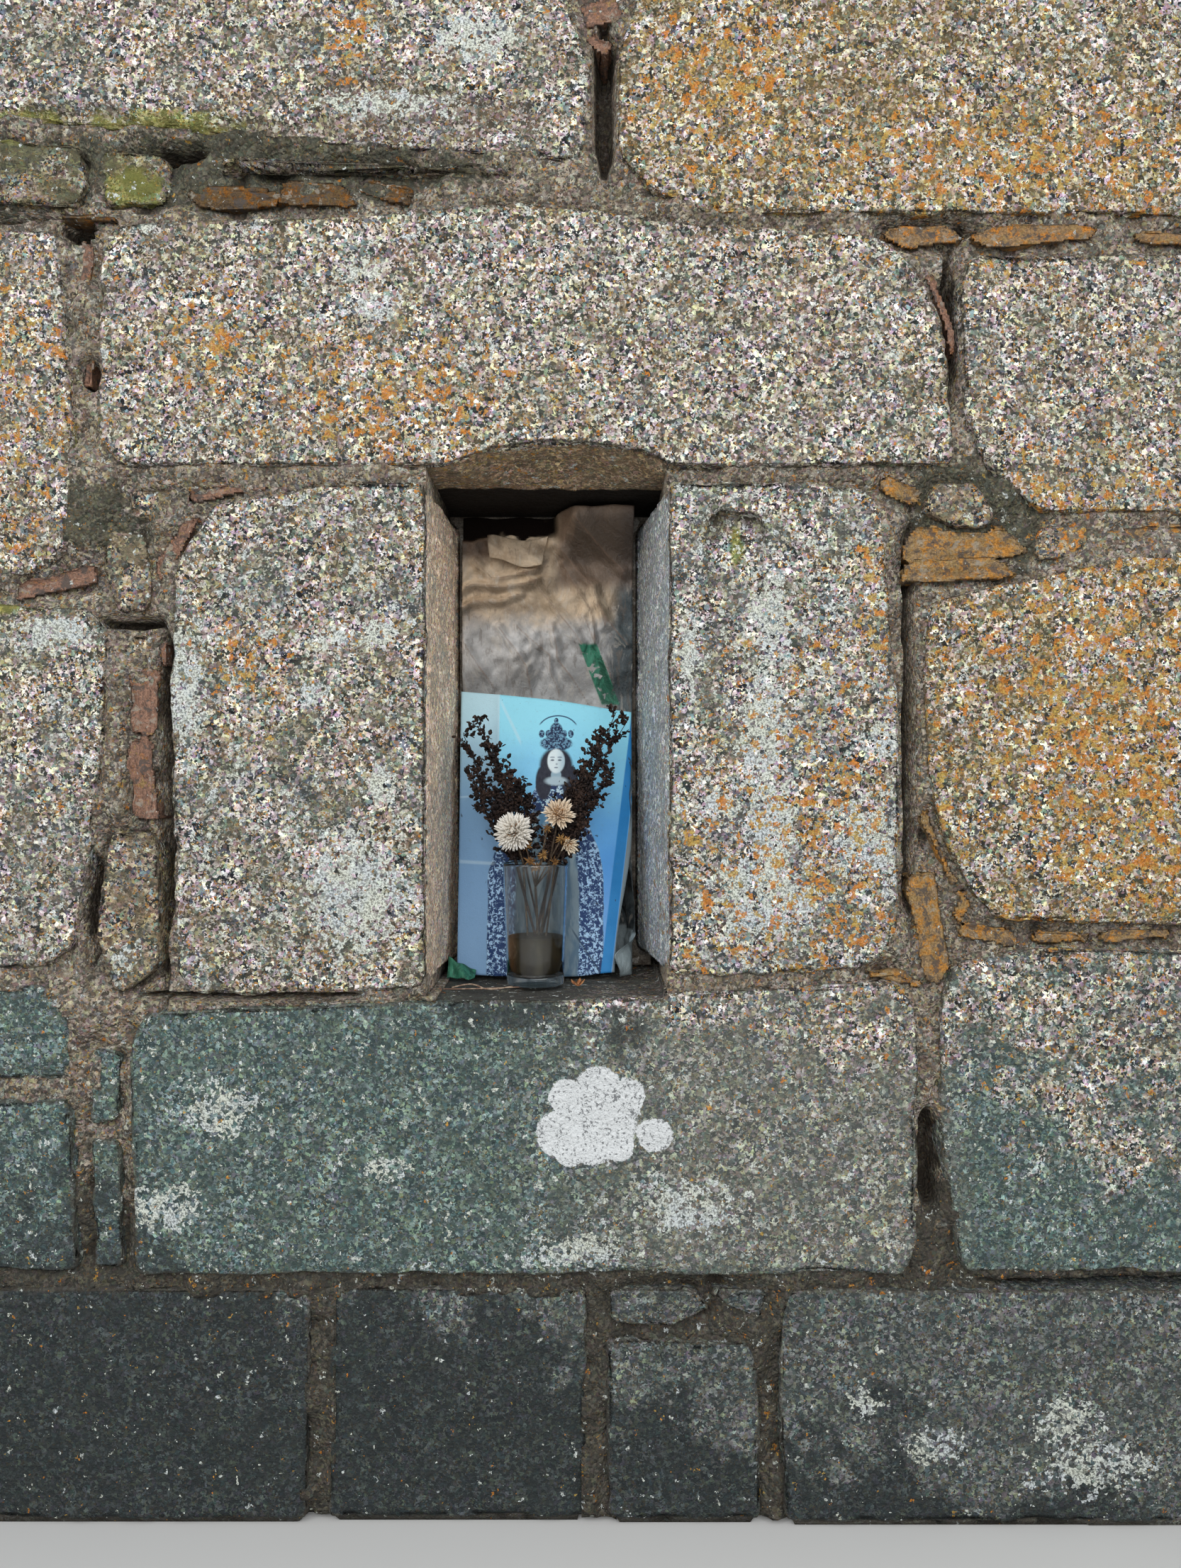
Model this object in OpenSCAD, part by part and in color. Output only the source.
// Wayside shrine: a small niche framed by four dressed stones, in a stretch of coursed granite wall.
// X runs along the wall from the middle of the niche, the niche faces -Y, and Z = 0 is the ground.

/* [Wall] */
// Length of the wall stretch
wall_w = 1600; // [1500:10:1900]
// Thickness of the wall
wall_t = 480; // [450:10:600]
// Depth of the front stones, which is also the depth of the niche
front_leaf_t = 220; // [190:5:240]
// Depth of the rear stones
rear_leaf_t = 200; // [150:5:220]

/* [Courses] */
// Height of the foot course
foot_course_h = 242; // [210:2:300]
// Height of the sill course
sill_course_h = 290; // [270:2:340]
// Height of the jamb course
jamb_course_h = 513; // [500:1:600]
// Height of the lintel course
lintel_course_h = 250; // [230:2:300]
// Height of the top course
top_course_h = 235; // [200:5:300]
// How much lower the bed left of the lintel lies
left_bed_drop = 113; // [90:1:130]
// How much lower the bed right of the lintel lies
right_bed_drop = 45; // [30:1:60]
// How much higher the bed right of the sill lies
right_sill_rise = 53; // [40:1:65]

/* [Joints between stones] */
// Width of a tight joint
joint_w = 8; // [6:1:14]
// How far the mortar lies behind the faces
mortar_recess = 24; // [18:1:40]
// Joint between the two top stones, from the middle of the niche
top_joint_x = 54; // [20:1:120]
// Joint left of the lintel
lintel_joint_l = -462; // [-500:1:-440]
// Joint right of the lintel
lintel_joint_r = 406; // [390:1:440]
// Joint left of the left jamb
jamb_joint_l = -385; // [-410:1:-360]
// Joint right of the right jamb
jamb_joint_r = 363; // [350:1:390]
// Width of the stack of packing stones left of the left jamb
packing_w = 50; // [40:1:60]
// Joint left of the sill
sill_joint_l = -424; // [-440:1:-410]
// Joint right of the sill
sill_joint_r = 378; // [370:1:395]
// First joint in the foot course
foot_joint_1 = -228; // [-300:1:-180]
// Second joint in the foot course
foot_joint_2 = 50; // [20:1:80]
// Third joint in the foot course
foot_joint_3 = 222; // [200:1:260]

/* [Stone edges] */
// Rounding of the arrises at the face
arris_r = 8; // [5:1:14]
// Rounding of the corners, beyond that of the arrises
corner_extra = 8; // [4:1:14]

/* [Niche] */
// Width of the niche between the front arrises
niche_w = 235; // [210:1:250]
// How far the right reveal leans into the niche at the back
reveal_splay = 22; // [0:1:35]
// How far the left reveal leans into the niche at the back
left_reveal_splay = 8; // [0:1:20]
// Rise of the shallow arch cut into the lintel
arch_rise = 27; // [15:1:40]
// Span of the arch on the face of the lintel
arch_span = 246; // [200:1:280]
// Depth over which the arch runs out into the flat soffit
arch_run = 105; // [60:1:150]
// Depth of the worn pocket in the right jamb
pocket_d = 15; // [8:1:25]
// Width of that pocket
pocket_w = 50; // [35:1:70]
// Height of that pocket
pocket_h = 88; // [60:1:110]

/* [Tumbler] */
// Height of the glass tumbler
tumbler_h = 128; // [100:1:150]
// Radius of its rim
tumbler_rim_r = 34.5; // [30:0.5:40]
// Radius of its foot
tumbler_foot_r = 30; // [26:0.5:34]
// Thickness of its wall
tumbler_wall = 2.4; // [1.6:0.1:4]
// Thickness of its base
tumbler_base = 9; // [5:0.5:14]
// Distance of its middle from the middle of the niche
tumbler_x = -15; // [-30:1:10]
// Distance of its middle behind the face of the wall
tumbler_set_back = 82; // [60:1:85]

/* [Print and bag] */
// Gap between the left edge of the printed sheet and the left reveal
sheet_gap_left = 5; // [2:1:20]
// Gap between its right edge and the right reveal
sheet_gap_right = 11; // [8:1:24]
// Length of the printed sheet
sheet_h = 300; // [240:1:320]
// Thickness of the sheet
sheet_t = 0.8; // [0.5:0.1:2]
// Distance of its foot behind the face of the wall
sheet_set_back = 125; // [122:1:150]
// Gap between the crumpled bag behind the sheet and the soffit of the niche
bag_top_gap = 39; // [20:1:120]
// Thickness of the bag's film where it is doubled over
bag_t = 2.4; // [1:0.1:4]

/* [Posy] */
// Radius of a main stem
stem_r = 1.3; // [0.8:0.1:1.8]
// Radius of one dried leaf
leaf_r = 5; // [3:0.25:6.5]
// Length of the longest side twig
twig_l = 30; // [20:1:36]
// Radius of the white flower head
white_flower_r = 18.5; // [14:0.5:20]
// Radius of the cream flower head
cream_flower_r = 19; // [14:0.5:20]
// Radius of the small flower head
small_flower_r = 10.5; // [7:0.5:11]

/* [Hidden] */

// Planes of the wall
half_w = wall_w / 2;
front_y = -wall_t / 2;
rear_y = wall_t / 2;
front_leaf_y = front_y + front_leaf_t;
rear_leaf_y = rear_y - rear_leaf_t;

// Beds, measured from the ground at the middle of each joint
foot_bed = foot_course_h;
sill_bed = foot_bed + sill_course_h;
lintel_bed = sill_bed + jamb_course_h;
top_bed = lintel_bed + lintel_course_h;
wall_h = top_bed + top_course_h;
left_bed = lintel_bed - left_bed_drop;
right_bed = lintel_bed - right_bed_drop;
right_sill_bed = sill_bed + right_sill_rise;
rear_middle_bed = (sill_bed + lintel_bed) / 2;

g = joint_w / 2;
corner_r = arris_r + corner_extra;
corner_steps = 3;
arris_steps = 3;
niche_l = -niche_w / 2;
niche_r = niche_w / 2;
mortar_top_gap = 5;
mortar_foot_gap = 3;
packing_x = jamb_joint_l - packing_w;
sill_packing_w = 38;
sill_packing_x = sill_joint_l - sill_packing_w;

// The top of the sill falls a little to the left, and the jambs follow it
sill_fall = 0.04;
thin_joint = 5;
function sill_top(x) = sill_bed - thin_joint / 2 + sill_fall * x;
function jamb_foot(x) = sill_top(x) + thin_joint;
niche_floor = sill_top(niche_l);

stone_grey = [0.62, 0.59, 0.53];
stone_dark = [0.45, 0.45, 0.40];
slate_rust = [0.66, 0.42, 0.18];
slate_brown = [0.45, 0.36, 0.27];
mortar_tan = [0.50, 0.44, 0.36];
leaf_brown = [0.20, 0.14, 0.11];

// Rounding, insetting and lofting of outlines

function unit(v) = v / norm(v);

// One corner p between a and b, as a curve that starts and ends up to r from p
function soft_corner(a, p, b, r) =
    let (t = min(r, 0.45 * norm(a - p), 0.45 * norm(b - p)))
    let (start = p + t * unit(a - p), end = p + t * unit(b - p))
    [for (i = [0 : corner_steps])
        let (s = i / corner_steps)
        (1 - s) * (1 - s) * start + 2 * s * (1 - s) * p + s * s * end];

function rounded(points, r) =
    let (n = len(points))
    [for (i = [0 : n - 1])
        for (q = soft_corner(points[(i + n - 1) % n], points[i], points[(i + 1) % n], r)) q];

// An outline that runs anticlockwise, moved inwards by d
function left_normal(a, b) = let (u = unit(b - a)) [-u[1], u[0]];
function inset(points, d) =
    let (n = len(points))
    [for (i = [0 : n - 1])
        let (before = left_normal(points[(i + n - 1) % n], points[i]))
        let (after = left_normal(points[i], points[(i + 1) % n]))
        points[i] + d * (before + after) / (1 + before * after)];

function ring(outline, y) = [for (p = outline) [p[0], y, p[1]]];

// Skins a list of rings, each with as many points as the others, and closes both ends
module loft(rings) {
    n = len(rings[0]);
    last = len(rings) - 1;
    points = [for (r = rings) for (p = r) p];
    first_cap = [for (i = [0 : n - 1]) i];
    last_cap = [for (i = [n - 1 : -1 : 0]) last * n + i];
    sides = [for (k = [0 : last - 1]) for (i = [0 : n - 1])
        let (j = (i + 1) % n)
        each [[k * n + i, (k + 1) * n + i, (k + 1) * n + j], [k * n + i, (k + 1) * n + j, k * n + j]]];
    polyhedron(points = points, faces = concat([first_cap], sides, [last_cap]), convexity = 6);
}

// A dressed stone: its outline on the face, with rounded arrises, run back to its outline at the back.
// direction is 1 where the face looks to -Y and -1 where it looks to +Y.
module dressed_stone(face_outline, back_outline, face_y, back_y, r = arris_r) {
    direction = sign(back_y - face_y);
    arris = [for (k = [0 : arris_steps])
        let (a = 90 * k / arris_steps)
        ring(inset(face_outline, r * (1 - sin(a))), face_y + direction * r * (1 - cos(a)))];
    rings = concat(arris, [ring(back_outline, back_y)]);
    loft(direction > 0 ? rings : [for (i = [len(rings) - 1 : -1 : 0]) rings[i]]);
}

module front_stone(corners, set_back = 0) {
    outline = rounded(corners, corner_r);
    dressed_stone(outline, outline, front_y + set_back, front_leaf_y);
}

module small_stone(corners, set_back) {
    outline = rounded(corners, small_corner_r);
    dressed_stone(outline, outline, front_y + set_back, front_leaf_y, small_arris_r);
}
small_corner_r = 11;
small_arris_r = 6;

// A flat outline in X and Z, made solid from y0 over a depth
module slab(y0, depth) {
    translate([0, y0 + depth, 0])
        rotate([90, 0, 0])
            linear_extrude(depth)
                children();
}

// Outlines of the front stones: corners, anticlockwise as seen from the front

top_left_corners = [
    [-half_w, top_bed + 112], [top_joint_x - 24, top_bed + 57], [top_joint_x - 9, top_bed + 74],
    [top_joint_x - 9, wall_h - 70], [top_joint_x - 34, wall_h], [-half_w, wall_h]
];
top_right_corners = [
    [top_joint_x + 104, top_bed + g], [half_w, top_bed + g - 3], [half_w, wall_h], [top_joint_x + 34, wall_h],
    [top_joint_x + 12, wall_h - 64], [top_joint_x + 12, top_bed + 62], [top_joint_x + 46, top_bed + 26]
];
lintel_left_corners = [
    [-half_w, left_bed + g], [lintel_joint_l - 45, left_bed + g + 5], [lintel_joint_l - 8, left_bed + 40],
    [lintel_joint_l - g, left_bed + 110], [lintel_joint_l - 16, top_bed - 62],
    [lintel_joint_l - 20, top_bed - 4], [-half_w, top_bed + 5]
];
lintel_corners = [
    [lintel_joint_l + 36, lintel_bed + g - 1], [lintel_joint_r - 3, lintel_bed + g - 1],
    [lintel_joint_r + 3, lintel_bed + 20], [lintel_joint_r - g, lintel_bed + 92],
    [lintel_joint_r - g - 4, top_bed - 108],
    [lintel_joint_r - 32, top_bed - 50], [lintel_joint_r - 56, top_bed - 24], [lintel_joint_r - 86, top_bed - 11],
    [lintel_joint_r - 296, top_bed + 4], [top_joint_x - 74, top_bed + 26], [lintel_joint_l + 270, top_bed + 8],
    [lintel_joint_l + 32, top_bed + 1], [lintel_joint_l + 15, top_bed - 28], [lintel_joint_l + 12, lintel_bed + 36]
];
lintel_right_corners = [
    [lintel_joint_r + 86, right_bed + g - 2], [half_w, right_bed], [half_w, top_bed - 27],
    [lintel_joint_r + 14, top_bed - 30], [lintel_joint_r, top_bed - 58], [lintel_joint_r + g, lintel_bed + 66],
    [lintel_joint_r + 20, lintel_bed + 16], [lintel_joint_r + 60, right_bed + 18]
];
jamb_left_corners = [
    [-half_w, sill_bed + 16], [packing_x - 70, sill_bed + 17], [packing_x - 33, sill_bed + 42],
    [packing_x - 20, sill_bed + 110], [packing_x - 1, sill_bed + 270], [packing_x + 3, left_bed - 46],
    [packing_x - 20, left_bed - 15], [-half_w, left_bed - g - 3]
];
left_jamb_corners = [
    [jamb_joint_l + 13, jamb_foot(jamb_joint_l) + 22], [jamb_joint_l + 36, jamb_foot(jamb_joint_l + 36)],
    [niche_l, jamb_foot(niche_l)], [niche_l, lintel_bed - g], [jamb_joint_l + 180, lintel_bed - g],
    [jamb_joint_l + 50, lintel_bed - 25], [jamb_joint_l + 12, lintel_bed - 95], [jamb_joint_l + 6, lintel_bed - 205]
];
right_jamb_corners = [
    [niche_r, jamb_foot(niche_r)], [jamb_joint_r - 46, jamb_foot(jamb_joint_r - 46)],
    [jamb_joint_r - 12, sill_bed + 44], [jamb_joint_r - 7, sill_bed + 168], [jamb_joint_r - 9, sill_bed + 290],
    [jamb_joint_r - 21, lintel_bed - 105], [jamb_joint_r - 26, lintel_bed - 36], [jamb_joint_r - 48, lintel_bed - g - 5],
    [jamb_joint_r - 140, lintel_bed - g], [niche_r, lintel_bed - g]
];
jamb_right_corners = [
    [jamb_joint_r + 86, right_sill_bed + g + 6], [half_w, right_sill_bed + g], [half_w, right_bed - 15],
    [jamb_joint_r + 236, right_bed - 29], [jamb_joint_r + 14, right_bed - 78], [jamb_joint_r + 8, right_bed - 112],
    [jamb_joint_r + 8, right_sill_bed + 165], [jamb_joint_r + 22, right_sill_bed + 104],
    [jamb_joint_r + 52, right_sill_bed + 42]
];
sill_left_upper_corners = [
    [-half_w, foot_bed + 190], [sill_packing_x - 9, foot_bed + 194], [sill_packing_x, sill_bed - 34],
    [sill_packing_x - 36, sill_bed + 8], [-half_w, sill_bed + 10]
];
sill_left_lower_corners = [
    [-half_w, foot_bed + g + 2], [sill_packing_x, foot_bed + g + 2], [sill_packing_x - 5, foot_bed + 90],
    [sill_packing_x - 8, foot_bed + 184], [-half_w, foot_bed + 182]
];
sill_corners = [
    [sill_joint_l + 12, foot_bed + g], [sill_joint_r - 20, foot_bed + g - 1], [sill_joint_r - 8, foot_bed + 26],
    [sill_joint_r - 6, sill_bed - 32], [sill_joint_r - 20, sill_top(sill_joint_r - 20)],
    [sill_joint_l + 26, sill_top(sill_joint_l + 26)], [sill_joint_l + g + 2, sill_bed - 52]
];
sill_right_corners = [
    [sill_joint_r + 30, foot_bed + g + 2], [half_w, foot_bed + g], [half_w, right_sill_bed - g - 5],
    [sill_joint_r + 100, right_sill_bed - g - 5], [sill_joint_r + 24, right_sill_bed - 24],
    [sill_joint_r + 7, right_sill_bed - 66], [sill_joint_r + 9, foot_bed + 140]
];
foot_left_corners = [
    [-half_w, 0], [foot_joint_1 - g - 2, 0], [foot_joint_1 - g, foot_bed - g - 1], [-half_w, foot_bed - g + 1]
];
foot_mid_left_corners = [
    [foot_joint_1 + g, 0], [foot_joint_2 - g, 0], [foot_joint_2 - g - 2, foot_bed - g - 2],
    [foot_joint_1 + g + 2, foot_bed - g]
];
foot_middle_corners = [
    [foot_joint_2 + g + 2, 0], [foot_joint_3 - g, 0], [foot_joint_3 - g - 6, foot_bed - 58],
    [foot_joint_2 + g, foot_bed - 54]
];
foot_right_corners = [
    [foot_joint_3 + 8, 0], [half_w, 0], [half_w, foot_bed - g], [foot_joint_3 + 12, foot_bed - g],
    [foot_joint_3 + g, foot_bed - 38]
];

// Packing stones: smaller stones that fill the wide joints, as deep as the front leaf
levelling_end_corners = [
    [-half_w, top_bed + 14], [-half_w + 172, top_bed + 14], [-half_w + 177, top_bed + 93], [-half_w, top_bed + 103]
];
levelling_long_corners = [
    [-half_w + 180, top_bed + 14], [lintel_joint_l - 2, top_bed + 12], [lintel_joint_l + 8, top_bed + 40],
    [lintel_joint_l, top_bed + 81], [-half_w + 184, top_bed + 91]
];
levelling_short_corners = [
    [lintel_joint_l + 14, top_bed + 15], [lintel_joint_l + 84, top_bed + 15], [lintel_joint_l + 94, top_bed + 50],
    [lintel_joint_l + 80, top_bed + 74], [lintel_joint_l + 14, top_bed + 78]
];
levelling_flush_corners = [
    [lintel_joint_l + 130, top_bed + 47], [top_joint_x - 174, top_bed + 46], [top_joint_x - 98, top_bed + 43],
    [top_joint_x - 92, top_bed + 54], [top_joint_x - 250, top_bed + 64], [lintel_joint_l + 136, top_bed + 72]
];
left_tall_corners = [
    [packing_x + 1, sill_bed - 4], [packing_x + 14, sill_bed - 8], [jamb_joint_l + 3, sill_bed + 22],
    [jamb_joint_l + 2, sill_bed + 130], [jamb_joint_l - 4, sill_bed + 162], [packing_x - 2, sill_bed + 158],
    [packing_x - 14, sill_bed + 100], [packing_x - 16, sill_bed + 50]
];
left_pale_corners = [
    [packing_x + 6, left_bed - 74], [jamb_joint_l - 8, left_bed - 76], [jamb_joint_l - 5, left_bed - 56],
    [jamb_joint_l - 12, left_bed - 43], [packing_x + 10, left_bed - 44]
];
left_upper_corners = [
    [packing_x + 3, left_bed - 30], [jamb_joint_l - 10, left_bed - 27], [jamb_joint_l - 5, left_bed + 6],
    [jamb_joint_l - 13, left_bed + 58], [packing_x - 8, left_bed + 62], [packing_x - 13, left_bed + 14]
];
left_top_corners = [
    [packing_x + 6, lintel_bed - 45], [packing_x + 48, lintel_bed - 46], [packing_x + 72, lintel_bed - 26],
    [packing_x + 60, lintel_bed - 6], [packing_x + 10, lintel_bed - 4]
];
sill_packer_upper_corners = [
    [sill_packing_x + 2, foot_bed + 150], [sill_joint_l, foot_bed + 156], [sill_joint_l + 1, foot_bed + 228],
    [sill_packing_x + 6, foot_bed + 235]
];
sill_packer_lower_corners = [
    [sill_packing_x + 7, foot_bed + 8], [sill_joint_l + 5, foot_bed + 9], [sill_joint_l, foot_bed + 140],
    [sill_packing_x + 2, foot_bed + 144]
];
foot_packer_wide_corners = [
    [foot_joint_2 + 8, foot_bed - 46], [foot_joint_2 + 74, foot_bed - 50], [foot_joint_2 + 118, foot_bed - 30],
    [foot_joint_2 + 98, foot_bed - g - 1], [foot_joint_2 + 6, foot_bed - g - 1]
];
foot_packer_end_corners = [
    [foot_joint_2 + 124, foot_bed - 27], [foot_joint_3 - 8, foot_bed - 48], [foot_joint_3, foot_bed - 20],
    [foot_joint_3 + 2, foot_bed - g - 1], [foot_joint_2 + 108, foot_bed - g - 1]
];
right_packer_corners = [
    [jamb_joint_r + 122, right_bed - 46], [jamb_joint_r + 152, right_bed - 43], [jamb_joint_r + 177, right_bed - 28],
    [jamb_joint_r + 176, right_bed - g], [jamb_joint_r + 124, right_bed - g], [jamb_joint_r + 116, right_bed - 26]
];
// This stone reaches from the slate beside it to the cut corner of the right lintel block
end_stone_l = jamb_joint_r + 5;
end_stone_r = lintel_joint_r + 44;
function end_stone_x(share) = end_stone_l + share * (end_stone_r - end_stone_l);
lintel_end_corners = [
    [end_stone_l, right_bed + 8], [end_stone_x(0.38), right_bed - 12], [end_stone_x(0.87), right_bed - 13],
    [end_stone_r, right_bed + 6], [end_stone_x(0.72), lintel_bed - 4], [end_stone_x(0.16), lintel_bed - 6]
];

LARGE_STONES = [
    top_left_corners, top_right_corners, lintel_left_corners, lintel_corners, lintel_right_corners,
    jamb_left_corners, left_jamb_corners, right_jamb_corners, jamb_right_corners,
    sill_left_upper_corners, sill_left_lower_corners, sill_corners, sill_right_corners,
    foot_left_corners, foot_mid_left_corners, foot_middle_corners, foot_right_corners
];
SMALL_STONES = [
    levelling_end_corners, levelling_long_corners, levelling_short_corners, levelling_flush_corners,
    left_tall_corners, left_pale_corners, left_upper_corners, left_top_corners,
    sill_packer_upper_corners, sill_packer_lower_corners,
    foot_packer_wide_corners, foot_packer_end_corners,
    right_packer_corners, lintel_end_corners
];

module stone_outlines() {
    for (corners = LARGE_STONES) polygon(rounded(corners, corner_r));
    for (corners = SMALL_STONES) polygon(rounded(corners, small_corner_r));
}

// Slates driven into the joints. Each is [place of its middle, width, height, tilt, set back from the wall's face].

slate_depth = 90;

// The outline of a slate as shares of its width and height, and how far each slate strays from it
SLATE_SHAPE = [
    [-0.50, -0.20], [-0.43, -0.42], [-0.16, -0.50], [0.18, -0.44], [0.43, -0.40], [0.50, -0.12],
    [0.47, 0.26], [0.30, 0.46], [-0.06, 0.44], [-0.34, 0.50], [-0.48, 0.24]
];
slate_stray = [0.035, 0.09];
function slate_outline(w, h, seed) =
    [for (i = [0 : len(SLATE_SHAPE) - 1])
        let (p = SLATE_SHAPE[i], turn = 137 * i + 11 * seed)
        [w * (p[0] + slate_stray[0] * sin(turn)), h * (p[1] + slate_stray[1] * cos(2 * turn))]];

top_bed_slates = [
    [[lintel_joint_l + 155, top_bed + 26], 104, 26, -2, 8], [[lintel_joint_l + 232, top_bed + 28], 80, 30, -8, 6],
    [[lintel_joint_l + 300, top_bed + 34], 60, 24, -12, 10], [[lintel_joint_l + 6, top_bed + 5], 58, 9, -4, 6],
    [[lintel_joint_r - 36, top_bed - 15], 84, 24, 1, 4], [[lintel_joint_r + 78, top_bed - 14], 126, 22, 2, 3],
    [[lintel_joint_r + 212, top_bed - 14], 70, 15, -2, 8], [[half_w - 80, top_bed - 13], 110, 17, 1, 8]
];
lintel_joint_slates = [
    [[lintel_joint_l - 2, top_bed - 42], 54, 20, 84, 12], [[lintel_joint_l + 2, lintel_bed + 108], 44, 14, 88, 14],
    [[lintel_joint_r - 16, top_bed - 90], 86, 24, 112, 9], [[top_joint_x, wall_h - 22], 40, 34, 20, 10],
    [[top_joint_x - 2, wall_h - 54], 28, 18, -30, 12]
];
left_jamb_slates = [
    [[jamb_joint_l - 17, sill_bed + 288], 68, 36, 88, 9], [[jamb_joint_l - 18, sill_bed + 208], 88, 32, 94, 7],
    [[jamb_joint_l + 1, sill_bed + 334], 26, 11, 90, 12], [[jamb_joint_l + 14, left_bed + 40], 78, 20, 52, 9],
    [[lintel_joint_l - 26, left_bed + 5], 86, 24, 15, 8], [[jamb_joint_l + 68, lintel_bed - 15], 84, 22, 8, 8]
];
right_bed_slates = [
    [[jamb_joint_r - 12, lintel_bed - 17], 46, 22, -20, 6],
    [[jamb_joint_r + 50, lintel_bed - 70], 128, 38, -1, 6], [[jamb_joint_r + 42, right_bed - 52], 116, 28, 1, 2],
    [[jamb_joint_r + 238, right_bed - 16], 110, 20, 6, 10]
];
right_jamb_slates = [
    [[jamb_joint_r + 31, right_sill_bed + 90], 84, 26, 119, 4], [[jamb_joint_r + 16, right_sill_bed + 10], 116, 36, 99, 3],
    [[jamb_joint_r + 52, right_sill_bed + 34], 46, 15, 74, 7], [[jamb_joint_r + 74, right_sill_bed + 2], 62, 22, -14, 4],
    [[jamb_joint_r - 16, sill_bed + 8], 58, 15, -8, 5], [[jamb_joint_r + 148, right_sill_bed - 2], 62, 15, -3, 10],
    [[jamb_joint_r + 222, right_sill_bed + 2], 72, 17, 3, 5]
];
ALL_SLATES = concat(top_bed_slates, lintel_joint_slates, left_jamb_slates, right_bed_slates, right_jamb_slates);

module slate_shape(s) {
    translate(s[0])
        rotate(s[3])
            polygon(slate_outline(s[1], s[2], s[0][0] + s[0][1]));
}

// The slates of one group, cut back where they meet a stone
module slates(group) {
    for (s = group)
        slab(front_y + s[4], slate_depth)
            difference() {
                slate_shape(s);
                stone_outlines();
            }
}

// Front stones

module front_block(corners, colour, set_back = 0) {
    color(colour) front_stone(corners, set_back);
}

arch_r = arch_span * arch_span / (8 * arch_rise) + arch_rise / 2;
arch_x = 12;
arch_tilt = atan(arch_rise / arch_run);
past = 40;

// The lintel, with a shallow arch hollowed out of its lower front edge
module lintel() {
    color(stone_grey)
        difference() {
            front_stone(lintel_corners);
            translate([arch_x, front_y, lintel_bed + g - 1 + arch_rise - arch_r / cos(arch_tilt)])
                rotate([90 - arch_tilt, 0, 0])
                    translate([0, 0, -2 * arch_run])
                        cylinder(r = arch_r, h = 2 * arch_run + arch_r * tan(arch_tilt) + past, $fn = 96);
        }
}

// A jamb, whose reveal leans into the niche towards the back
module jamb(corners, inner_x, lean, set_back) {
    outline = rounded(corners, corner_r);
    back = rounded([for (p = corners) [p[0] == inner_x ? p[0] + lean : p[0], p[1]]], corner_r);
    dressed_stone(outline, back, front_y + set_back, front_leaf_y);
}

module left_jamb() {
    color(stone_grey) jamb(left_jamb_corners, niche_l, left_reveal_splay, jamb_set_back);
}

jamb_set_back = 3;
pocket_x = niche_r + 70;
pocket_top = lintel_bed - 42;

// The worn pocket: deep under its rounded head, and run out to the face at its foot
module pocket() {
    run_out = atan(pocket_d / pocket_h);
    head_r = 12;
    translate([pocket_x, front_y + jamb_set_back, pocket_top])
        rotate([-run_out, 0, 0])
            translate([0, pocket_d, 0])
                rotate([90, 0, 0])
                    linear_extrude(pocket_d + past)
                        polygon(rounded([
                            [-pocket_w / 2, -pocket_h * 1.3], [pocket_w / 2, -pocket_h * 1.3],
                            [pocket_w / 2, 0], [-pocket_w / 2, 0]], head_r));
}

module right_jamb() {
    color(stone_grey)
        difference() {
            jamb(right_jamb_corners, niche_r, -reveal_splay, jamb_set_back);
            pocket();
        }
}

// The sill, with a level seat cut into it as the floor of the niche
module sill() {
    color(stone_dark)
        difference() {
            front_stone(sill_corners);
            translate([niche_l + g, front_y - past, niche_floor])
                cube([niche_w - 2 * g, front_leaf_t + 2 * past, past]);
        }
}

module levelling_stones() {
    color(stone_dark) {
        small_stone(levelling_end_corners, 8);
        small_stone(levelling_long_corners, 5);
        small_stone(levelling_short_corners, 10);
        small_stone(levelling_flush_corners, 9);
    }
}

module left_packing_stones() {
    color(stone_dark) {
        small_stone(left_tall_corners, 6);
        small_stone(left_pale_corners, 12);
        small_stone(left_upper_corners, 9);
        small_stone(left_top_corners, 14);
    }
}

module sill_packing_stones() {
    color(stone_dark) {
        small_stone(sill_packer_upper_corners, 12);
        small_stone(sill_packer_lower_corners, 9);
    }
}

module foot_packing_stones() {
    color(stone_dark) {
        small_stone(foot_packer_wide_corners, 5);
        small_stone(foot_packer_end_corners, 8);
    }
}

module right_packing_stone() {
    color(stone_grey) small_stone(right_packer_corners, 5);
}

module lintel_end_stone() {
    color(stone_grey) small_stone(lintel_end_corners, 3);
}

// Mortar and hearting

module niche_shape() {
    translate([niche_l, sill_bed - past])
        square([niche_w, lintel_bed - sill_bed + 2 * past]);
}

module front_mortar() {
    color(mortar_tan)
        difference() {
            slab(front_y + mortar_recess, front_leaf_t - mortar_recess)
                difference() {
                    translate([-half_w + mortar_recess, mortar_foot_gap])
                        square([wall_w - 2 * mortar_recess, wall_h - mortar_foot_gap - mortar_top_gap]);
                    stone_outlines();
                    niche_shape();
                }
            for (s = ALL_SLATES)
                slab(front_y + s[4], slate_depth) slate_shape(s);
        }
}

module hearting() {
    color(mortar_tan)
        translate([-half_w + mortar_recess, front_leaf_y, 0])
            cube([wall_w - 2 * mortar_recess, wall_t - front_leaf_t - rear_leaf_t, wall_h - mortar_top_gap]);
}

// Rear leaf: plain courses at the heights of the front ones, with the tall jamb course as two

rear_wander = 5;
function wander(i) = rear_wander * sin(137 * i);

REAR_COURSES = [
    [0, foot_bed, [-290, 260]], [foot_bed, sill_bed, [40]], [sill_bed, rear_middle_bed, [-380, 190]],
    [rear_middle_bed, lintel_bed, [-90, 430]], [lintel_bed, top_bed, [-330, 240]], [top_bed, wall_h, [-20]]
];

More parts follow.
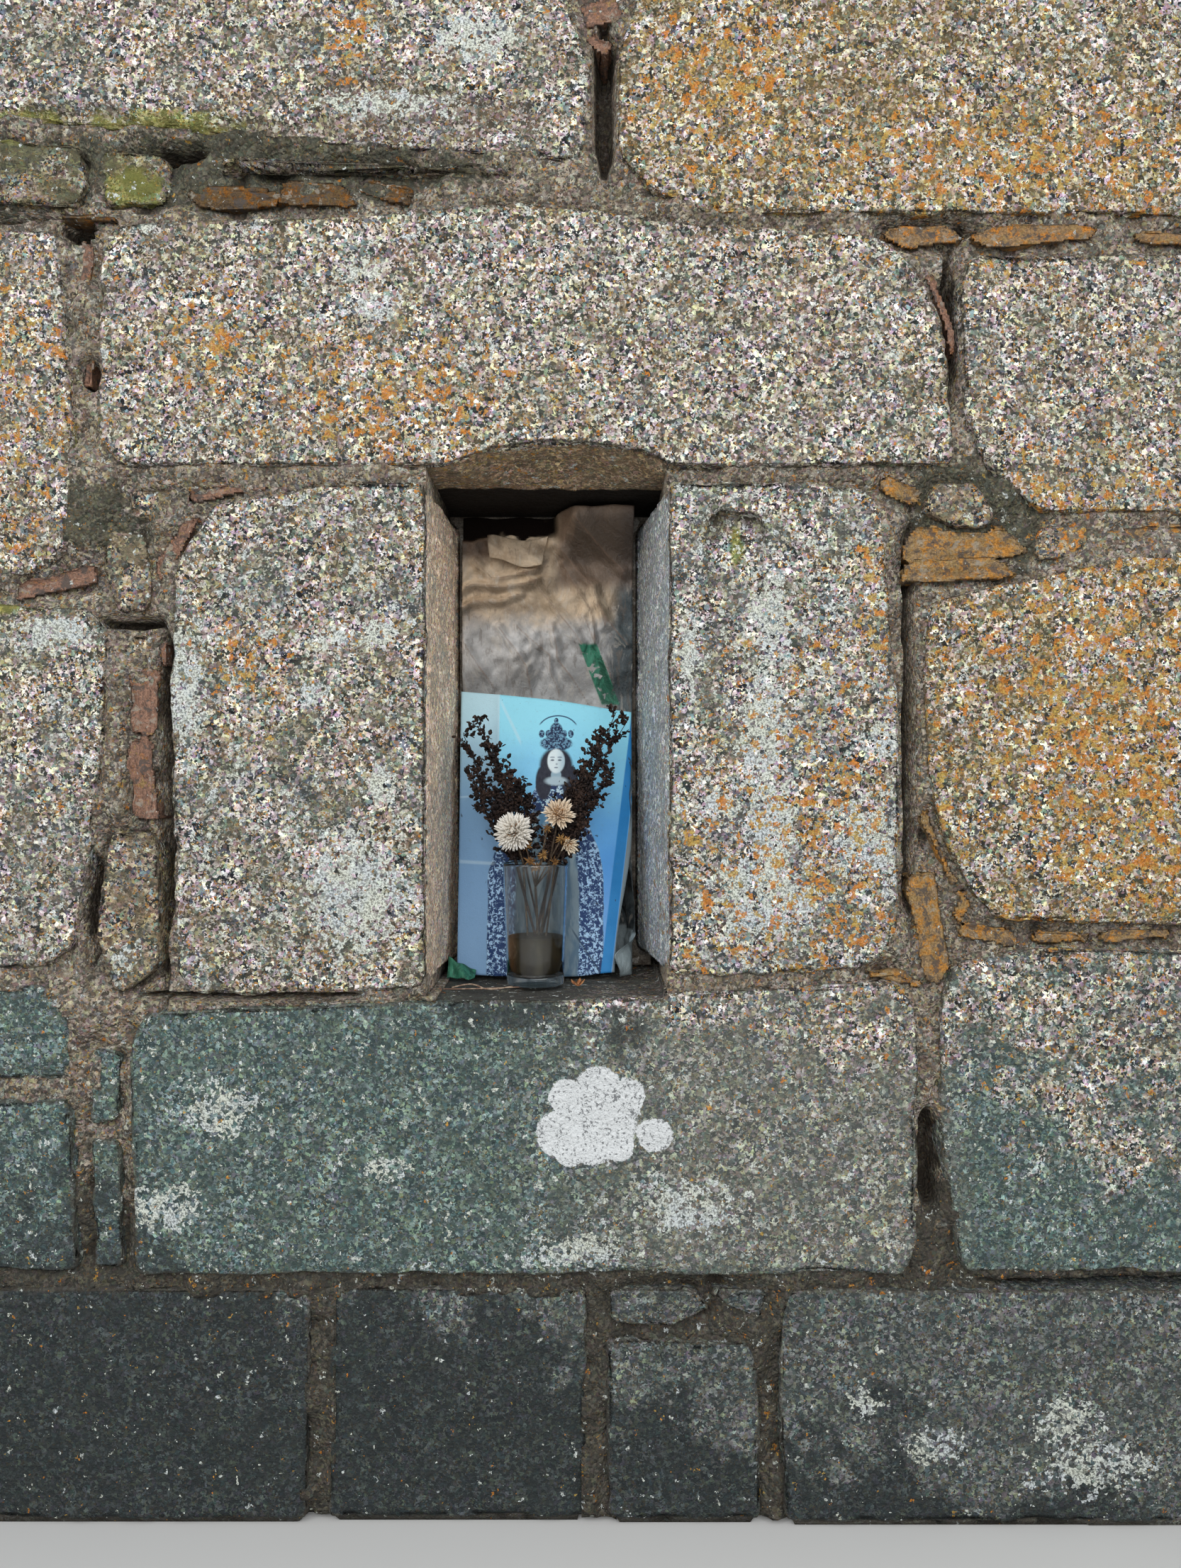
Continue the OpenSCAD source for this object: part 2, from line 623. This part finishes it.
function rear_corners(course, i) =
    let (z0 = course[0], z1 = course[1], joints = course[2], last = len(joints))
    let (w = wander(i + z0), foot = z0 == 0, head = z1 == wall_h)
    let (x0 = i == 0 ? -half_w : joints[i - 1] + g, x1 = i == last ? half_w : joints[i] - g)
    [
        [x0 + (i == 0 ? 0 : abs(w)), foot ? 0 : z0 + g], [x1 - (i == last ? 0 : abs(w) / 2), foot ? 0 : z0 + g + abs(w) / 2],
        [x1, head ? z1 : z1 - g], [x0, head ? z1 : z1 - g - abs(w) / 2]
    ];

module rear_course(k) {
    course = REAR_COURSES[k];
    color(stone_grey)
        for (i = [0 : len(course[2])]) {
            outline = rounded(rear_corners(course, i), corner_r);
            dressed_stone(outline, outline, rear_y - abs(wander(k + 2 * i)) * (k == 0 ? 0 : 1), rear_leaf_y);
        }
}

module rear_mortar() {
    color(mortar_tan)
        slab(rear_leaf_y, rear_leaf_t - mortar_recess)
            difference() {
                translate([-half_w + mortar_recess, mortar_foot_gap])
                    square([wall_w - 2 * mortar_recess, wall_h - mortar_foot_gap - mortar_top_gap]);
                for (course = REAR_COURSES)
                    for (i = [0 : len(course[2])])
                        polygon(rounded(rear_corners(course, i), corner_r));
            }
}

// What stands in the niche

seat_gap = 0.3;
niche_back = front_leaf_y - seat_gap;
inner_l = niche_l + left_reveal_splay;
inner_r = niche_r - reveal_splay;

// The bag is a pleated curtain of film against the back of the niche
bag_pleat = 9;
bag_waves = 3.5;
bag_side_gap = 4;
function bag_y(x) = niche_back - bag_t - bag_pleat * (1 + sin(bag_waves * 360 * (x - inner_l) / (inner_r - inner_l))) / 2;

bag_h = lintel_bed + g - 1 - bag_top_gap - niche_floor - seat_gap;

module crumpled_bag() {
    n = 42;
    x0 = inner_l + bag_side_gap;
    x1 = inner_r - bag_side_gap;
    front = [for (i = [0 : n]) let (x = x0 + (x1 - x0) * i / n) [x, bag_y(x)]];
    back = [for (i = [n : -1 : 0]) let (x = x0 + (x1 - x0) * i / n) [x, bag_y(x) + bag_t]];
    color([0.62, 0.55, 0.46])
        translate([0, 0, niche_floor + seat_gap])
            linear_extrude(bag_h)
                polygon(concat(front, back));
}

// The sheet is curled about an upright axis, stands on its side edges and leans back on the bag
sheet_curl_r = 210;
sheet_l = inner_l + sheet_gap_left;
sheet_r = inner_r - sheet_gap_right;
sheet_x = (sheet_l + sheet_r) / 2;
sheet_foot_y = front_y + sheet_set_back;
sheet_half_angle = asin((sheet_r - sheet_l) / 2 / sheet_curl_r);
sheet_sag = sheet_curl_r * (1 - cos(sheet_half_angle)) + sheet_t;
sheet_reach = niche_back - bag_t - bag_pleat - seat_gap - sheet_foot_y;
sheet_lean = asin(sheet_reach / norm([sheet_sag, sheet_h])) - atan2(sheet_sag, sheet_h);

module printed_sheet() {
    steps = 16;
    arc = [for (i = [0 : steps]) sheet_half_angle * (2 * i / steps - 1)];
    back_r = sheet_curl_r - sheet_t;
    strip = concat(
        [for (a = arc) [sheet_curl_r * sin(a), sheet_curl_r * (1 - cos(a))]],
        [for (i = [steps : -1 : 0]) [back_r * sin(arc[i]), sheet_curl_r - back_r * cos(arc[i])]]);
    color([0.45, 0.70, 0.86])
        translate([sheet_x, sheet_foot_y, niche_floor + seat_gap + sheet_sag * sin(sheet_lean)])
            rotate([-sheet_lean, 0, 0])
                linear_extrude(sheet_h)
                    polygon(strip);
}

tumbler_y = front_y + tumbler_set_back;
tumbler_flare = (tumbler_rim_r - tumbler_foot_r) / tumbler_h;

module glass_tumbler() {
    color([0.75, 0.80, 0.78, 0.5])
        translate([tumbler_x, tumbler_y, niche_floor + seat_gap])
            rotate_extrude($fn = 96)
                polygon([
                    [0, 0], [tumbler_foot_r, 0], [tumbler_rim_r, tumbler_h], [tumbler_rim_r - tumbler_wall, tumbler_h],
                    [tumbler_foot_r - tumbler_wall + tumbler_flare * tumbler_base, tumbler_base], [0, tumbler_base]
                ]);
}

// The posy: places are measured from the middle of the underside of the tumbler

posy_base = tumbler_base + seat_gap;
over_rim = tumbler_h + 4;
lean_r = tumbler_rim_r - tumbler_wall - stem_r - 3 * seat_gap;

// Where a stem that ends at tip passes the mouth of the tumbler, at most leaning on its rim
function mouth(tip) =
    let (out = [tip[0], tip[1]], reach = min(0.8 * norm(out), lean_r))
    [reach * unit(out)[0], reach * unit(out)[1], over_rim];

module at_tumbler() {
    translate([tumbler_x, tumbler_y, niche_floor + seat_gap]) children();
}

// A straight rod between two points
module rod(a, b, r, sides = 6) {
    v = b - a;
    translate(a)
        rotate([0, acos(v[2] / norm(v)), atan2(v[1], v[0])])
            cylinder(r = r, h = norm(v), $fn = sides);
}

// A stem that stands on the base, leans towards the rim and ends at tip
module stem(foot, tip, r) {
    rod(foot, mouth(tip), r);
    rod(mouth(tip) - r * unit(mouth(tip) - foot), tip, r * 0.85);
}

// A thin round leaf, turned about the upright axis and leaning
module leaf(p, turn, lean) {
    translate(p)
        rotate([lean, 0, turn])
            translate([0, 0, -leaf_t / 2])
                cylinder(r = leaf_r, h = leaf_t, $fn = 7);
}
leaf_t = 1.2;

// A spray: a stem that carries side twigs with leaves, left and right in turn
module spray(foot, tip, twigs, length) {
    start = mouth(tip);
    stem(foot, tip, stem_r);
    for (i = [1 : twigs]) {
        t = 0.18 + 0.8 * i / twigs;
        root = start + t * (tip - start);
        side = i % 2 == 0 ? 1 : -1;
        end = root + length * (1.15 - 0.5 * t) * [side * 0.75, 0.32 * sin(140 * i), 0.62];
        rod(root, end, stem_r * 0.6, 5);
        for (k = [0 : 2])
            leaf(root + (0.45 + 0.27 * k) * (end - root), 67 * i + 110 * k, 62 + 22 * k);
    }
    leaf(tip, 20, 70);
}

spray_margin = twig_l / 2 + leaf_r + 12;
left_tip_x = inner_l + spray_margin - tumbler_x;
right_tip_x = inner_r - spray_margin - tumbler_x;

module left_spray() {
    color(leaf_brown)
        at_tumbler() {
            spray([-10, 4, posy_base], [left_tip_x, 20, 268], 7, twig_l);
            spray([-4, 12, posy_base], [left_tip_x / 2, 36, 236], 5, twig_l * 0.85);
        }
}

module right_spray() {
    color(leaf_brown)
        at_tumbler() {
            spray([12, 4, posy_base], [right_tip_x, 20, 284], 7, twig_l * 0.95);
            spray([8, 13, posy_base], [right_tip_x * 0.6, 36, 232], 5, twig_l * 0.8);
        }
}

// A flower head that looks forwards and a little up: a domed heart with two rings of pointed petals
module flower(foot, head, r, petals) {
    petal_t = 0.12 * r;
    stem(foot, head, stem_r * 0.9);
    translate(head)
        rotate([75, 0, 0]) {
            rotate_extrude($fn = 48)
                polygon(r * [[0, -0.38], [0.3, -0.34], [0.48, -0.08], [0.48, 0.3], [0.3, 0.4], [0, 0.44]]);
            petal_ring(r, petals, petal_t);
            translate([0, 0, 1.3 * petal_t])
                rotate(180 / petals)
                    petal_ring(0.86 * r, petals, petal_t);
        }
}

module petal_ring(r, petals, thickness) {
    n = 2 * petals;
    linear_extrude(thickness)
        polygon([for (i = [0 : n - 1]) r * (i % 2 == 0 ? 1 : 0.66) * [cos(360 * i / n), sin(360 * i / n)]]);
}

module white_flower() {
    color([0.90, 0.86, 0.78])
        at_tumbler() flower([-3, -14, posy_base], [-21, -19, 161], white_flower_r, 16);
}

module cream_flower() {
    color([0.82, 0.68, 0.52])
        at_tumbler() flower([8, -10, posy_base], [25, -10, 180], cream_flower_r, 14);
}

module small_flower() {
    color([0.76, 0.64, 0.52])
        at_tumbler() flower([16, -6, posy_base], [36, -16, 149], small_flower_r, 9);
}

// Small dry buds gathered at the mouth of the tumbler
module seed_heads() {
    buds = 5;
    bud_l = 9;
    bud_r = 3.6;
    mouth_p = [5, -15, over_rim - 6];
    color([0.55, 0.40, 0.18])
        at_tumbler() {
            rod([0, -4, posy_base], mouth_p, stem_r * 0.8);
            for (i = [0 : buds - 1]) {
                out = [sin(360 * i / buds), 0.6 * cos(360 * i / buds), 1.3];
                rod(mouth_p - [0, 0, 1], mouth_p + 6 * out, stem_r * 0.6, 5);
                rod(mouth_p + 5 * out, mouth_p + (5 + bud_l) * out, bud_r * 0.6, 7);
            }
        }
}

front_block(top_left_corners, stone_grey, 4);  // top_left_block
front_block(top_right_corners, stone_grey, 0);  // top_right_block
front_block(lintel_left_corners, stone_grey, 5);  // lintel_left_block
lintel();
front_block(lintel_right_corners, stone_grey, 2);  // lintel_right_block
front_block(jamb_left_corners, stone_grey, 4);  // jamb_left_block
left_jamb();
right_jamb();
front_block(jamb_right_corners, stone_grey, 1);  // jamb_right_block
front_block(sill_left_upper_corners, stone_dark, 7);  // sill_left_upper_block
front_block(sill_left_lower_corners, stone_dark, 3);  // sill_left_lower_block
sill();
front_block(sill_right_corners, stone_dark, 2);  // sill_right_block
front_block(foot_left_corners, stone_dark, 5);  // foot_left_block
front_block(foot_mid_left_corners, stone_dark, 8);  // foot_mid_left_block
front_block(foot_middle_corners, stone_dark, 4);  // foot_middle_block
front_block(foot_right_corners, stone_dark, 0);  // foot_right_block
levelling_stones();
left_packing_stones();
right_packing_stone();
lintel_end_stone();
sill_packing_stones();
foot_packing_stones();
color(slate_rust) slates(top_bed_slates);
color(slate_brown) slates(lintel_joint_slates);
color(slate_brown) slates(left_jamb_slates);
color(slate_rust) slates(right_bed_slates);
color(slate_rust) slates(right_jamb_slates);
front_mortar();
hearting();
rear_mortar();
rear_course(0);  // rear_foot_course
rear_course(1);  // rear_sill_course
rear_course(2);  // rear_lower_jamb_course
rear_course(3);  // rear_upper_jamb_course
rear_course(4);  // rear_lintel_course
rear_course(5);  // rear_top_course
crumpled_bag();
printed_sheet();
glass_tumbler();
left_spray();
right_spray();
white_flower();
cream_flower();
small_flower();
seed_heads();
